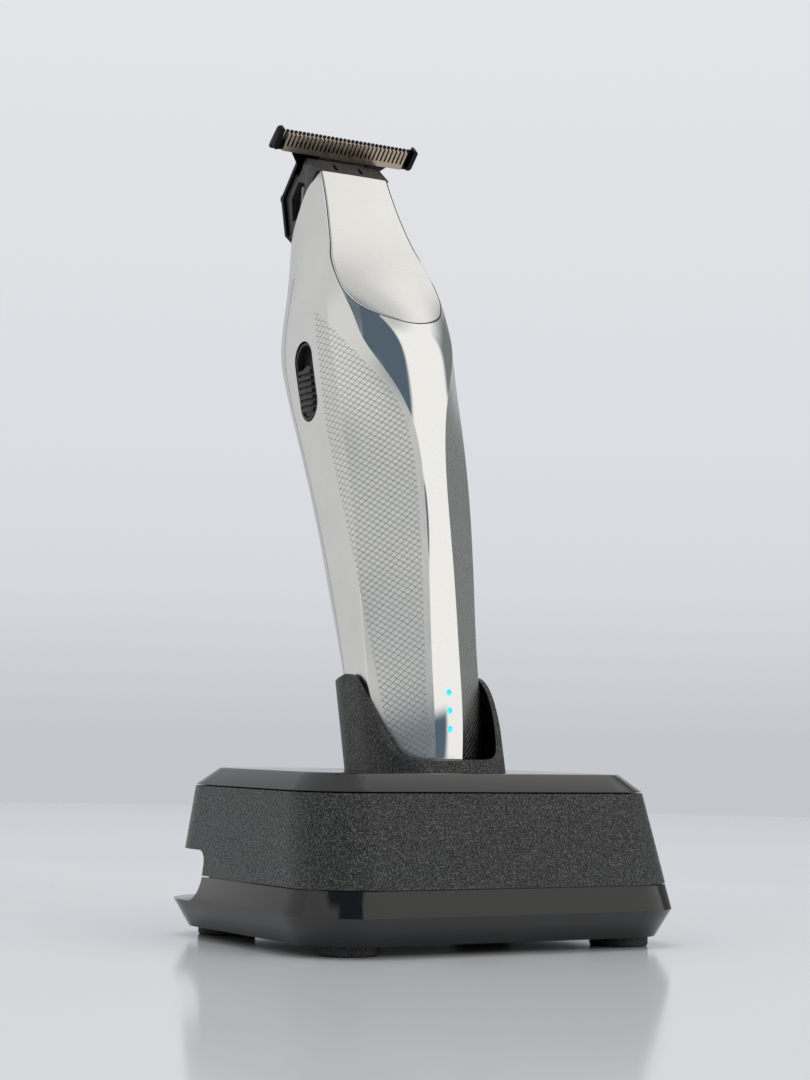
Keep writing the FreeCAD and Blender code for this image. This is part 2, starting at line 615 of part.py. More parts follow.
def fixed_blade():
    arm = box(-BLADE_HALF, BLADE_HALF, 0, ARM_DEPTH, 0, BLADE_T)
    neck = box(-TAIL_HALF, TAIL_HALF, ARM_DEPTH - 1, BLADE_LEN, 0, BLADE_T)
    plate = arm.fuse(neck)
    for side in (-1, 1):
        corner = Part.makePolygon([Vector(side * TAIL_HALF, ARM_DEPTH - 0.5, 0),
                                   Vector(side * (TAIL_HALF + 3.5), ARM_DEPTH - 0.5, 0),
                                   Vector(side * TAIL_HALF, ARM_DEPTH + 3.5, 0),
                                   Vector(side * TAIL_HALF, ARM_DEPTH - 0.5, 0)])
        plate = plate.fuse(Part.Face(corner).extrude(Vector(0, 0, BLADE_T)))
        x0 = min(side * (BLADE_HALF - EAR_W), side * BLADE_HALF)
        ear = box(x0, x0 + EAR_W, -0.8, ARM_DEPTH - 0.6, -1.5, BLADE_T)
        upright = [edge for edge in ear.Edges
                   if abs(abs(edge.CenterOfMass.x) - BLADE_HALF) < 1e-6
                   and abs(edge.CenterOfMass.z - (BLADE_T - 1.5) / 2) < 1e-6]
        plate = plate.fuse(ear.makeFillet(0.9, upright))
    first = -PITCH * (TEETH - 2) / 2
    plate = plate.cut(comb(TEETH - 1, first, PITCH, 0.5, TOOTH_LEN, -1, 3).Solids)
    taper = Part.makePolygon([Vector(-BLADE_HALF - 1, -2, BLADE_T + 1),
                              Vector(-BLADE_HALF - 1, -2, 0.35),
                              Vector(-BLADE_HALF - 1, 4.5, BLADE_T + 0.01),
                              Vector(-BLADE_HALF - 1, 4.5, BLADE_T + 1),
                              Vector(-BLADE_HALF - 1, -2, BLADE_T + 1)])
    plate = plate.cut(Part.Face(taper).extrude(Vector(2 * BLADE_HALF + 2, 0, 0)))
    plate = on_blade(plate)
    bend_v = BLADE_TIP[0] + BLADE_LEN * math.cos(math.radians(BLADE_DROP_DEG))
    bend_w = BLADE_TIP[1] - BLADE_LEN * math.sin(math.radians(BLADE_DROP_DEG))
    tail = box(-TAIL_HALF, TAIL_HALF, TAIL_V, TAIL_V + BLADE_T, TAIL_LOW, bend_w + 0.6)
    low_edges = [edge for edge in tail.Edges
                 if abs(edge.CenterOfMass.z - TAIL_LOW) < 1e-6 and abs(edge.CenterOfMass.x) > 5]
    tail = tail.makeChamfer(2.4, low_edges)
    knee = rod(0.9, Vector(-TAIL_HALF, bend_v + 0.2, bend_w + 0.5),
               Vector(TAIL_HALF, bend_v + 0.2, bend_w + 0.5))
    blade = plate.fuse(tail).fuse(knee)
    for x in (-5.0, 5.0):
        blade = blade.cut(rod(1.3, Vector(x, 10, 146.5), Vector(x, 22, 146.5)))
    return docked(blade.removeSplitter())


def moving_cutter():
    """Toothed cutter and the drive fork that carries it from side to side."""
    high = -CUTTER_GAP
    low = high - CUTTER_T
    strip = box(-CUTTER_HALF, CUTTER_HALF, 0.3, 5.2, low, high)
    neck = box(-6.5, 6.5, 5.0, CUTTER_BACK, low, high)
    plate = strip.fuse(neck)
    count = int(2 * CUTTER_HALF / PITCH)
    first = -PITCH * (count - 1) / 2
    return docked(on_blade(plate.cut(comb(count, first, PITCH, 0.5, 3.7, -3, 2).Solids)))


def drive_fork():
    """Plastic fork between the crank pin and the moving cutter."""
    under = -CUTTER_GAP - CUTTER_T
    top = on_blade(box(-4.2, 4.2, 7.2, 9.6, under - 1.6, under - 0.02))
    low = CRANK_TOP + FORK_GAP
    stem = side_prism(((3.6, low), (3.6, 153.2), (6.2, 156.6), (8.0, 155.2), (5.8, 151.8),
                       (5.8, low)), 2.4)
    reach = box(-2.4, 2.4, -1.6, 5.8, low, low + 4.0)
    slot = box(-0.95, 0.95, -0.9, 3.5, low - 1, low + 2.8)
    return docked(top.fuse(stem).fuse(reach).cut(slot))


def blade_holder():
    """Plastic head that plugs into the housing and carries the fixed blade."""
    profile = ((-0.1, 153.1), (4.1, 158.5), (9.1, 155.4), (10.0, 156.8), (16.2, 152.8),
               (16.4, 142.0), (13.7, 141.3))
    body = side_prism(profile, 10.2)
    front = side_prism(((-0.1, 153.1), (4.1, 158.5), (6.2, 157.1), (4.0, 150.0)), 10.4)
    plug = side_prism(((1.8, 150.6), (11.6, 142.4), (11.6, 137.0), (2.6, 137.0)), 7.6)
    head = body.fuse(front).fuse(plug)
    channel = side_prism(((1.6, 120), (1.6, 152.9), (5.9, 158.4), (9.0, 157.0), (9.0, 120)), 5.6)
    head = head.cut(channel)
    head = head.cut(on_blade(box(-8.2, 8.2, 6.7, 11.4, -3.3, 4)))
    for side in (-1, 1):
        pocket = side_prism(((6.4, 152.6), (9.4, 154.2), (13.4, 151.4), (14.2, 145.4),
                             (11.0, 145.0), (7.6, 148.0)), 1.4)
        pocket.translate(Vector(side * 9.4, 0, 0))
        head = head.cut(pocket)
        head = head.cut(box(side * 3.6 - 0.5, side * 3.6 + 0.5, -3, 3.4, 154.5, 160))
    for x in (-5.0, 5.0):
        head = head.cut(rod(1.05, Vector(x, 9, 146.5), Vector(x, 22, 146.5)))
    return docked(biggest(head))


def tension_spring():
    """Bent wire that presses the cutter up against the fixed blade."""
    radius = 0.7
    pieces = []
    for side in (-1, 1):
        x = side * 9.1
        bottom = Vector(x, 11.36, 145.77)
        bend = Vector(x, 9.6, 148.8)
        top = Vector(x, 8.6, 152.2)
        pieces.append(rod(radius, bottom, bend))
        pieces.append(rod(radius, bend, top))
        pieces.append(Part.makeSphere(radius, bend))
        pieces.append(Part.makeSphere(radius, top))
        pieces.append(Part.makeSphere(radius, bottom))
    return docked(Part.makeCompound([pieces[0].fuse(pieces[1:5]), pieces[5].fuse(pieces[6:])]))


def blade_screws():
    screws = []
    for x in (-5.0, 5.0):
        head = rod(2.2, Vector(x, TAIL_V + BLADE_T, 146.5), Vector(x, TAIL_V + BLADE_T + 1.3, 146.5))
        shank = rod(1.0, Vector(x, 10.0, 146.5), Vector(x, TAIL_V + BLADE_T + 0.5, 146.5))
        slot = box(x - 2.4, x + 2.4, TAIL_V + BLADE_T + 0.6, 30, 146.2, 146.8)
        screws.append(head.fuse(shank).cut(slot))
    return docked(Part.makeCompound(screws))


# ---------------------------------------------------------------- write everything
def build():
    front, back, plate = trimmer_shells()
    return {
        "stand_body": stand_body(),
        "stand_top_bezel": stand_top_bezel(),
        "stand_lower_ring": stand_lower_ring(),
        "stand_bottom_plate": stand_bottom_plate(),
        "rubber_feet": rubber_feet(),
        "stand_screws": stand_screws(),
        "dc_inlet": dc_inlet(),
        "charging_board": charging_board(),
        "charging_cradle": charging_cradle(),
        "charging_pin_left": charging_pin(-6.0),
        "charging_pin_right": charging_pin(6.0),
        "pin_holder": pin_holder(),
        "trimmer_housing": docked(biggest(front)),
        "trimmer_back_shell": docked(biggest(back)),
        "trimmer_faceplate": docked(biggest(plate)),
        "led_lenses": led_lenses(),
        "charging_contacts": charging_contacts(),
        "switch_bezel": switch_bezel(),
        "switch_slider": switch_slider(),
        "battery_cell": battery_cell(),
        "control_board": control_board(),
        "motor": motor(),
        "motor_chassis": chassis(),
        "crank_shaft": crank_shaft(),
        "drive_fork": drive_fork(),
        "moving_cutter": moving_cutter(),
        "fixed_blade": fixed_blade(),
        "blade_holder": blade_holder(),
        "tension_spring": tension_spring(),
        "blade_screws": blade_screws(),
    }


def main():
    os.makedirs("parts", exist_ok=True)
    for name, shape in build().items():
        box_now = shape.BoundBox
        print(name, len(shape.Solids), shape.isValid(), round(shape.Volume, 1),
              [round(v, 1) for v in (box_now.XMin, box_now.XMax, box_now.YMin, box_now.YMax,
                                     box_now.ZMin, box_now.ZMax)])
        shape.exportStep("parts/" + name + ".step")


main()
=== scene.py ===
"""Blender scene: a cordless hair trimmer standing in its charging stand."""
import json
import math

import bmesh
import bpy
from mathutils import Matrix, Vector


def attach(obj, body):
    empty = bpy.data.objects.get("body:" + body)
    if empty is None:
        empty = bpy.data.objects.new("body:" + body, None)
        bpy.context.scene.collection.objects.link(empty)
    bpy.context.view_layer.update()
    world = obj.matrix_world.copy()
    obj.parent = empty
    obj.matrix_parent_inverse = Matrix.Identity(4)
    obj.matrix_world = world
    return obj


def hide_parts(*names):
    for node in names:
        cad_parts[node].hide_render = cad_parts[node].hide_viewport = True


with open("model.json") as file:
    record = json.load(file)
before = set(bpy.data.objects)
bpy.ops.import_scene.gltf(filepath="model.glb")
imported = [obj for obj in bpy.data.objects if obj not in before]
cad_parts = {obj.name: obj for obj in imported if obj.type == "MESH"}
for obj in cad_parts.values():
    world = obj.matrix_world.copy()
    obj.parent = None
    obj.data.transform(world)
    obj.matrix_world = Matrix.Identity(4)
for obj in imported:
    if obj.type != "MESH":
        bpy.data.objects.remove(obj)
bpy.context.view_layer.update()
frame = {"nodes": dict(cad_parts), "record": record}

MM = 0.001
STAND_Y = -8.2                      # middle of the stand, in millimetres
LEAN = math.radians(14.0)           # how far the trimmer leans back
DOCK = (0.0, STAND_Y + 1.3, 36.3)   # trimmer's bottom centre, in millimetres
CAMERA_PLACE = (-289.1, -464.5 + STAND_Y, 47.1)
CAMERA_YAW = math.radians(31.35)


# ------------------------------------------------------------------ camera
def add_camera():
    pitch, roll = math.radians(4.645), math.radians(1.05)
    forward = Vector((math.sin(CAMERA_YAW) * math.cos(pitch),
                      math.cos(CAMERA_YAW) * math.cos(pitch), math.sin(pitch)))
    right = forward.cross(Vector((0, 0, 1))).normalized()
    up = right.cross(forward).normalized()
    right_rolled = right * math.cos(roll) + up * math.sin(roll)
    up_rolled = up * math.cos(roll) - right * math.sin(roll)
    data = bpy.data.cameras.new("camera")
    data.sensor_width = 36.0
    data.lens = 78.9
    data.clip_start = 0.01
    data.clip_end = 50.0
    camera = bpy.data.objects.new("camera", data)
    bpy.context.scene.collection.objects.link(camera)
    columns = (right_rolled, up_rolled, -forward)
    rows = [[column[k] for column in columns] + [CAMERA_PLACE[k] * MM] for k in range(3)]
    camera.matrix_world = Matrix(rows + [[0, 0, 0, 1]])
    bpy.context.scene.camera = camera


add_camera()
bpy.context.scene.view_settings.view_transform = "Standard"


# ------------------------------------------------------------------ node material helpers
BRUSH_ALONG = (1.1, 1.1, 0.03)      # brushing up the body, per millimetre
BRUSH_DEPTH = 0.000012
PANEL_WAY = (0.727, 0.686)          # across the panel: share of x and share of depth
PANEL_LINES = ((0.0667, 3.07), (0.1143, 0.69), (0.694, -68.6))   # slope up the body, start
PANEL_REACH = 10.2                  # the lattice ends here, in millimetres across the panel
LOZENGE = (2.0, 1.5)                # width and height of a lozenge


class Nodes:
    """Small helper for building a material's node tree."""

    def __init__(self, name):
        self.material = bpy.data.materials.new(name)
        self.material.use_nodes = True
        self.tree = self.material.node_tree
        self.shader = self.tree.nodes["Principled BSDF"]

    def add(self, kind, **values):
        node = self.tree.nodes.new("ShaderNode" + kind)
        for key, value in values.items():
            setattr(node, key, value)
        return node

    def put(self, socket, value):
        if hasattr(value, "is_output"):
            self.tree.links.new(value, socket)
        else:
            socket.default_value = value

    def math(self, operation, a, b=0.0, clamp=False):
        node = self.add("Math", operation=operation, use_clamp=clamp)
        self.put(node.inputs[0], a)
        self.put(node.inputs[1], b)
        return node.outputs[0]

    def mapped(self, scale=(1.0, 1.0, 1.0), rotation=(0.0, 0.0, 0.0), location=(0.0, 0.0, 0.0)):
        node = self.add("Mapping")
        self.put(node.inputs["Scale"], scale)
        self.put(node.inputs["Rotation"], rotation)
        self.put(node.inputs["Location"], location)
        self.put(node.inputs["Vector"], self.add("TexCoord").outputs["Object"])
        return node.outputs[0]

    def scaled(self, vector, scale):
        node = self.add("Mapping")
        self.put(node.inputs["Scale"], scale)
        self.put(node.inputs["Vector"], vector)
        return node.outputs[0]

    def split(self, vector):
        node = self.add("SeparateXYZ")
        self.put(node.inputs[0], vector)
        return node.outputs

    def noise(self, vector, scale, detail=3.0, rough=0.55):
        node = self.add("TexNoise")
        self.put(node.inputs["Vector"], vector)
        self.put(node.inputs["Scale"], scale)
        self.put(node.inputs["Detail"], detail)
        self.put(node.inputs["Roughness"], rough)
        return node.outputs["Fac"]

    def cells(self, vector, scale):
        node = self.add("TexVoronoi")
        self.put(node.inputs["Vector"], vector)
        self.put(node.inputs["Scale"], scale)
        return node.outputs["Distance"]

    def ramp(self, factor, stops):
        node = self.add("ValToRGB")
        self.put(node.inputs["Fac"], factor)
        elements = node.color_ramp.elements
        while len(elements) < len(stops):
            elements.new(0.5)
        for element, (place, colour) in zip(elements, stops):
            element.position = place
            element.color = (*colour, 1.0)
        return node.outputs["Color"]

    def range(self, value, low, high, to_low=0.0, to_high=1.0):
        node = self.add("MapRange")
        self.put(node.inputs["Value"], value)
        limits = {"From Min": low, "From Max": high, "To Min": to_low, "To Max": to_high}
        for key, number in limits.items():
            self.put(node.inputs[key], number)
        return node.outputs[0]

    def mix(self, factor, a, b):
        node = self.add("Mix", data_type="RGBA")
        self.put(node.inputs[0], factor)
        for socket, colour in ((node.inputs[6], a), (node.inputs[7], b)):
            self.put(socket, (*colour, 1.0) if isinstance(colour, tuple) else colour)
        return node.outputs[2]

    def bump(self, height, strength, distance, after=None):
        node = self.add("Bump")
        self.put(node.inputs["Strength"], strength)
        self.put(node.inputs["Distance"], distance)
        self.put(node.inputs["Height"], height)
        if after is not None:
            self.put(node.inputs["Normal"], after)
        self.put(self.shader.inputs["Normal"], node.outputs["Normal"])
        return node.outputs["Normal"]

    def set(self, **values):
        names = {"color": "Base Color", "rough": "Roughness", "metal": "Metallic",
                 "coat": "Coat Weight", "coat_rough": "Coat Roughness",
                 "specular": "Specular IOR Level", "emit": "Emission Color",
                 "emit_strength": "Emission Strength"}
        for key, value in values.items():
            if isinstance(value, tuple):
                value = (*value, 1.0)
            self.put(self.shader.inputs[names[key]], value)


def shade(colour, amount):
    return tuple(channel * amount for channel in colour)


def trimmer_axes(n):
    """Trimmer's own coordinates in millimetres: across, depth, height up the body."""
    cos, sin = math.cos(LEAN), math.sin(LEAN)
    depth = DOCK[1] * cos - DOCK[2] * sin
    height = DOCK[1] * sin + DOCK[2] * cos
    return n.mapped((1000.0,) * 3, (LEAN, 0.0, 0.0), (0.0, -depth, -height))


def textured_plastic(name, base, grain, depth, rough=0.5, painted_glint=2.2):
    """Spark-eroded moulded plastic: small rounded grains, some of them shiny, the brightest also painted
    lighter in colour as painted glints.
    """
    n = Nodes(name)
    where = n.mapped()
    coarse = n.noise(where, grain, 2.0, 0.6)
    fine = n.noise(where, grain * 2.3, 2.0, 0.5)
    height = n.math("ADD", coarse, n.math("MULTIPLY", fine, 0.4))
    n.bump(height, 1.0, depth)
    # the brightest grains are painted lighter in colour: painted glints
    n.set(color=n.ramp(coarse, ((0.4, shade(base, 0.3)), (0.52, base), (0.66, shade(base, painted_glint)))),
          rough=n.range(coarse, 0.35, 0.7, rough, rough * 0.72),
          specular=n.range(coarse, 0.4, 0.6, 0.35, 0.9))
    return n.material


def glossy_plastic(name, base, rough=0.06):
    n = Nodes(name)
    where = n.mapped()
    haze = n.noise(where, 35.0, 4.0, 0.6)
    dust = n.range(n.cells(where, 420.0), 0.0, 0.07, 1.0, 0.0)
    n.bump(n.noise(where, 90.0, 2.0), 0.06, 0.0002)
    colour = n.ramp(haze, ((0.3, base), (0.8, shade(base, 1.25))))
    n.set(color=n.mix(n.math("MULTIPLY", dust, 0.1), colour, (0.25, 0.25, 0.25)),
          rough=n.range(haze, 0.35, 0.75, rough, rough * 1.9), specular=0.62)
    return n.material


def brush_marks(n, axes, brush=BRUSH_ALONG):
    """Streaks, finer across the brushing than along it."""
    return n.noise(n.scaled(axes, brush), 4.0, 4.0, 0.65)


def satin_metal(name, base, rough, spread=0.05, brush=BRUSH_ALONG, depth=BRUSH_DEPTH):
    """Fine brushed metal, its scratches along the trimmer."""
    n = Nodes(name)
    axes = trimmer_axes(n)
    streaks = brush_marks(n, axes, brush)
    cloud = n.noise(axes, 0.06, 3.0, 0.5)
    n.bump(streaks, 0.3, depth)
    n.set(color=n.ramp(cloud, ((0.3, shade(base, 0.94)), (0.7, base))), metal=1.0,
          rough=n.range(streaks, 0.3, 0.7, rough - spread, rough + spread))
    return n.material


def lattice_metal(name, base, rough):
    """Satin metal with a fine engraved lozenge lattice, its grooves darker in colour: partly their etched
    finish, partly painted shade in the grooves.
    """
    n = Nodes(name)
    axes = trimmer_axes(n)
    x, depth, height = n.split(axes)
    across = n.math("ADD", n.math("MULTIPLY", n.math("ABSOLUTE", x), PANEL_WAY[0]),
                    n.math("MULTIPLY", depth, PANEL_WAY[1]))
    low, high, ridge = [n.math("ADD", n.math("MULTIPLY", height, slope), start)
                        for slope, start in PANEL_LINES]
    side = n.math("MINIMUM", n.math("MAXIMUM", low, high), PANEL_REACH)
    outside = n.math("MAXIMUM", n.math("GREATER_THAN", across, side),
                     n.math("LESS_THAN", across, ridge))
    across = n.math("DIVIDE", across, LOZENGE[0])
    up = n.math("DIVIDE", height, LOZENGE[1])
    lines = [n.math("PINGPONG", n.math(way, n.math("ADD", across, 100.0), up), 0.5)
             for way in ("ADD", "SUBTRACT")]
    land = n.math("MAXIMUM", n.range(n.math("MINIMUM", *lines), 0.012, 0.048), outside)
    streaks = brush_marks(n, axes)
    cloud = n.noise(axes, 0.06, 3.0, 0.5)
    after = n.bump(streaks, 0.3, BRUSH_DEPTH)
    n.bump(land, 0.6, 0.00006, after)
    metal = n.ramp(cloud, ((0.3, shade(base, 0.94)), (0.7, base)))
    # groove colour painted darker: partly the etched finish, partly painted shade in the grooves
    n.set(color=n.mix(land, shade(base, 0.24), metal), metal=1.0,
          rough=n.range(land, 0.0, 1.0, rough + 0.4, rough))
    return n.material


def polished_metal(name, base, rough, satin_rough):
    """Mirror finish of the front ridge, ending in satin beside the faceplate."""
    n = Nodes(name)
    axes = trimmer_axes(n)
    x, _, height = n.split(axes)
    edge = n.math("SUBTRACT", 22.57, n.math("MULTIPLY", height, 0.1))
    outside = n.math("GREATER_THAN", n.math("ABSOLUTE", x), edge)
    above = n.math("GREATER_THAN", height, 101.7)
    satin = n.math("MULTIPLY", outside, above)
    streaks = brush_marks(n, axes)
    mottle = n.noise(axes, 2.2, 3.0, 0.6)
    n.bump(streaks, 0.16, 0.00001)
    n.set(color=n.ramp(mottle, ((0.3, shade(base, 0.96)), (0.7, base))), metal=1.0,
          rough=n.range(satin, 0.0, 1.0, rough, satin_rough))
    return n.material


def plain_metal(name, base, rough, grain=1500.0):
    n = Nodes(name)
    speck = n.noise(n.mapped(), grain, 3.0)
    n.bump(speck, 0.2, 0.00002)
    n.set(color=n.ramp(speck, ((0.3, shade(base, 0.85)), (0.7, base))), metal=1.0,
          rough=n.range(speck, 0.3, 0.7, rough * 0.8, rough * 1.2))
    return n.material


def led_glow(name):
    n = Nodes(name)
    speck = n.noise(n.mapped(), 1800.0, 2.0)
    n.set(color=n.ramp(speck, ((0.3, (0.02, 0.35, 0.7)), (0.7, (0.05, 0.5, 0.85)))), rough=0.2,
          emit=n.ramp(speck, ((0.3, (0.0, 0.42, 0.95)), (0.7, (0.02, 0.6, 1.0)))), emit_strength=1.1)
    return n.material


SILVER = (0.82, 0.815, 0.8)
MATERIALS = {
    # the last number of each textured plastic is its painted glint: how much lighter the brightest grains
    # are painted
    "stand_texture": textured_plastic("stand_texture", (0.009, 0.0092, 0.0092), 2950.0, 0.00028, 0.3, 7.5),
    "stand_gloss": glossy_plastic("stand_gloss", (0.0045, 0.0045, 0.005)),
    "stand_under": textured_plastic("stand_under", (0.02, 0.02, 0.021), 2500.0, 0.00008),
    "foot_rubber": textured_plastic("foot_rubber", (0.012, 0.012, 0.012), 3500.0, 0.00005, 0.75, 1.4),
    "screw_steel": plain_metal("screw_steel", (0.3, 0.29, 0.28), 0.34),
    "inlet_plastic": textured_plastic("inlet_plastic", (0.012, 0.012, 0.012), 4000.0, 0.00003),
    "board_green": textured_plastic("board_green", (0.02, 0.1, 0.04), 2000.0, 0.00002),
    "cradle_texture": textured_plastic("cradle_texture", (0.011, 0.0112, 0.0112), 2700.0, 0.00015, 0.5, 3.2),
    "contact_gold": plain_metal("contact_gold", (0.8, 0.58, 0.25), 0.25),
    "housing_metal": satin_metal("housing_metal", SILVER, 0.24),
    "face_metal": satin_metal("face_metal", (0.86, 0.855, 0.84), 0.3, brush=(0.05, 1.1, 1.1)),
    "back_shell_metal": satin_metal("back_shell_metal", shade(SILVER, 0.95), 0.28),
    "led_blue": led_glow("led_blue"),
    "switch_black": textured_plastic("switch_black", (0.01, 0.01, 0.011), 5000.0, 0.00003),
    "cell_wrap": glossy_plastic("cell_wrap", (0.05, 0.1, 0.3), 0.3),
    "motor_steel": plain_metal("motor_steel", (0.55, 0.55, 0.56), 0.35),
    "inner_plastic": textured_plastic("inner_plastic", (0.03, 0.03, 0.032), 3000.0, 0.00004),
    "cutter_bronze": plain_metal("cutter_bronze", (0.5, 0.41, 0.32), 0.32),
    "blade_black": plain_metal("blade_black", (0.02, 0.02, 0.022), 0.35),
    "holder_plastic": textured_plastic("holder_plastic", (0.02, 0.0202, 0.022), 4000.0, 0.00003, 0.42),
    # inside of the cradle: real smooth glossy finish, its colour painted darker than the textured outside as
    # painted shade
    "cradle_inner": glossy_plastic("cradle_inner", (0.002, 0.002, 0.002), 0.2),
    "ridge_polished": polished_metal("ridge_polished", (0.88, 0.88, 0.87), 0.05, 0.24),
    "panel_lattice": lattice_metal("panel_lattice", SILVER, 0.24),
}

slots = {part["node"]: part["material_slot"] for part in frame["record"]["subparts"]}
for node_name, node_object in frame["nodes"].items():
    node_object.data.materials.clear()
    node_object.data.materials.append(MATERIALS[slots[node_name]])


# ------------------------------------------------------------------ the trimmer's body surface
# Body sections: height, ridge half width, ridge edge depth, ridge middle depth,
# panel end (x, depth), widest (x, depth), back corner (x, depth), back middle depth.
BODY = (
    (0.0, 3.5, -12.6, -12.9, 13.9, -4.0, 14.4, -1.0, 13.3, 5.0, 8.4),
    (8.0, 3.7, -14.3, -14.8, 14.6, -5.2, 15.2, -2.0, 14.0, 5.2, 8.8),
    (25.0, 3.7, -16.5, -17.0, 15.1, -6.5, 15.8, -3.0, 14.4, 5.4, 9.0),
    (45.0, 3.35, -19.0, -19.5, 15.7, -8.3, 16.4, -4.0, 14.9, 7.0, 10.4),
    (65.0, 3.15, -20.7, -21.2, 16.3, -9.8, 17.0, -4.5, 15.3, 9.1, 12.8),
    (84.0, 5.5, -20.9, -21.9, 16.7, -9.8, 17.5, -3.0, 15.7, 12.4, 16.5),
    (94.0, 9.4, -18.8, -21.8, 16.7, -9.6, 17.8, -1.5, 16.0, 14.3, 18.5),
    (102.0, 12.4, -16.1, -20.9, 17.1, -9.0, 18.0, 0.0, 16.1, 15.8, 19.8),
    (110.0, 13.3, -13.8, -17.6, 16.8, -8.4, 17.8, 1.0, 15.8, 16.8, 20.5),
    (118.0, 14.1, -10.6, -12.6, 15.9, -6.9, 16.7, 2.0, 14.6, 16.3, 19.7),
    (126.0, 13.3, -7.5, -8.1, 14.5, -4.6, 15.2, 3.0, 13.2, 15.2, 18.3),
    (134.0, 11.8, -4.9, -5.1, 12.8, -2.4, 13.5, 4.0, 11.8, 14.9, 17.7),
    (143.0, 10.5, -2.7, -2.8, 11.3, -0.4, 12.1, 4.5, 10.6, 14.2, 17.0),
    (154.0, 9.5, -0.3, -0.35, 10.2, 1.8, 11.2, 5.0, 9.8, 13.8, 16.7),
)
SEAM_LINE = ((0.0, 2.6), (25.0, 3.8), (45.0, 4.4), (65.0, 7.1), (85.0, 10.8),
             (103.0, 13.2), (116.0, 12.0), (128.0, 9.0))
# right half of the faceplate's outline: half width and height
FACE_EDGE = ((0.0, 105.7), (6.0, 107.2), (10.6, 110.4), (13.2, 115.0), (13.75, 120.0),
             (13.2, 126.0), (11.6, 133.0), (10.3, 141.0), (9.55, 148.0), (9.2, 154.5))
BODY_TOP = 154.0
BACK_TOP = 128.0          # the back shell ends here, under the neck
HALF_GAP = 0.15           # half of the open line between two shells
WALL = 1.3
ROUND = 1.4               # rounding of the lower end
RIDGE_POINTS = 15
SIDE_POINTS = 26
REAR_POINTS = 30
MARGIN_POINTS = 6         # on each smooth border of a panel
LATTICE_POINTS = 16
END_POINTS = 3            # on the border between a panel and the flank
ROUND_THE_SIDE = 12       # faces of the flank that the lattice may reach
LATTICE_LOW = 3.0
LATTICE_TOP = 116.0
SWITCH_PLACE = (3.0, 97.7)                 # depth and height
LED_HEIGHTS = (8.4, 12.5, 16.6)
CONTACT_PLACES = ((-6.0, -2.0), (6.0, -2.0))   # across and depth
TOP_CUT = ((-0.5, 152.5), (13.5, 140.9))   # slanted top: depth and height
SATIN, RIDGE, LATTICE = 0, 1, 2


def natural_spline(xs, ys):
    """Smooth cubic through the points, as a function of x."""
    last = len(xs) - 1
    gaps = [b - a for a, b in zip(xs, xs[1:])]
    slopes = [(b - a) / gap for a, b, gap in zip(ys, ys[1:], gaps)]
    upper = [0.0] * (last + 1)
    bend = [0.0] * (last + 1)
    for i in range(1, last):
        pivot = 2 * (gaps[i - 1] + gaps[i]) - gaps[i - 1] * upper[i - 1]
        upper[i] = gaps[i] / pivot
        bend[i] = (6 * (slopes[i] - slopes[i - 1]) - gaps[i - 1] * bend[i - 1]) / pivot
    for i in range(last - 1, 0, -1):
        bend[i] -= upper[i] * bend[i + 1]

    def value(x):
        i = 0
        while i < last - 1 and x > xs[i + 1]:
            i += 1
        t = x - xs[i]
        start = slopes[i] - gaps[i] * (2 * bend[i] + bend[i + 1]) / 6
        return ys[i] + t * (start + t * (bend[i] / 2 + t * (bend[i + 1] - bend[i]) / (6 * gaps[i])))

    return value


HEIGHTS = [row[0] for row in BODY]
COLUMNS = [natural_spline(HEIGHTS, [row[k] for row in BODY]) for k in range(1, 11)]
SEAM = natural_spline([p[0] for p in SEAM_LINE], [p[1] for p in SEAM_LINE])


def smooth(low, high, value):
    t = min(max((value - low) / (high - low), 0.0), 1.0)
    return t * t * (3 - 2 * t)


def seam_depth(height):
    return SEAM(min(max(height, 0.0), BACK_TOP))


def hermite(points, tangents, steps):
    """Smooth plane curve through points with given tangents."""
    result = []
    for (ax, ay), (bx, by), (tax, tay), (tbx, tby) in zip(points, points[1:], tangents, tangents[1:]):
        for step in range(steps):
            t = step / steps
            a, ta = 2 * t ** 3 - 3 * t ** 2 + 1, t ** 3 - 2 * t ** 2 + t
            b, tb = 3 * t ** 2 - 2 * t ** 3, t ** 3 - t ** 2
            result.append((ax * a + tax * ta + bx * b + tbx * tb, ay * a + tay * ta + by * b + tby * tb))
    result.append(points[-1])
    return result


def resample(points, count):
    """Points evenly spaced along a polyline, both ends kept."""
    runs = [0.0]
    for (ax, ay), (bx, by) in zip(points, points[1:]):
        runs.append(runs[-1] + math.hypot(bx - ax, by - ay))
    result = []
    i = 0
    for k in range(count):
        goal = runs[-1] * k / (count - 1)
        while i < len(points) - 2 and runs[i + 1] < goal:
            i += 1
        t = (goal - runs[i]) / ((runs[i + 1] - runs[i]) or 1.0)
        result.append(tuple(a + (b - a) * t for a, b in zip(points[i], points[i + 1])))
    return result


def ridge_curve(half, edge_v, mid_v):
    """Right half of the front ridge, from its middle to its edge."""
    sag = edge_v - mid_v
    radius = (half ** 2 + sag ** 2) / (2 * sag)
    full = math.asin(min(half / radius, 1.0))
    angles = [full * k / (RIDGE_POINTS - 1) for k in range(RIDGE_POINTS)]
    return [(radius * math.sin(a), mid_v + radius * (1 - math.cos(a))) for a in angles]


def panel_places(length, height):
    """Distances along a panel: smooth border, lattice, smooth border."""
    first = min(1.6 + 2.2 * smooth(98.0, 112.0, height), length * 0.5)
    last = length - min(0.9, length * 0.2)
    places = [first * (k / MARGIN_POINTS) ** 1.5 for k in range(1, MARGIN_POINTS)]
    places += [first + (last - first) * k / LATTICE_POINTS for k in range(LATTICE_POINTS + 1)]
    places += [last + (length - last) * k / END_POINTS for k in range(1, END_POINTS + 1)]
    return places


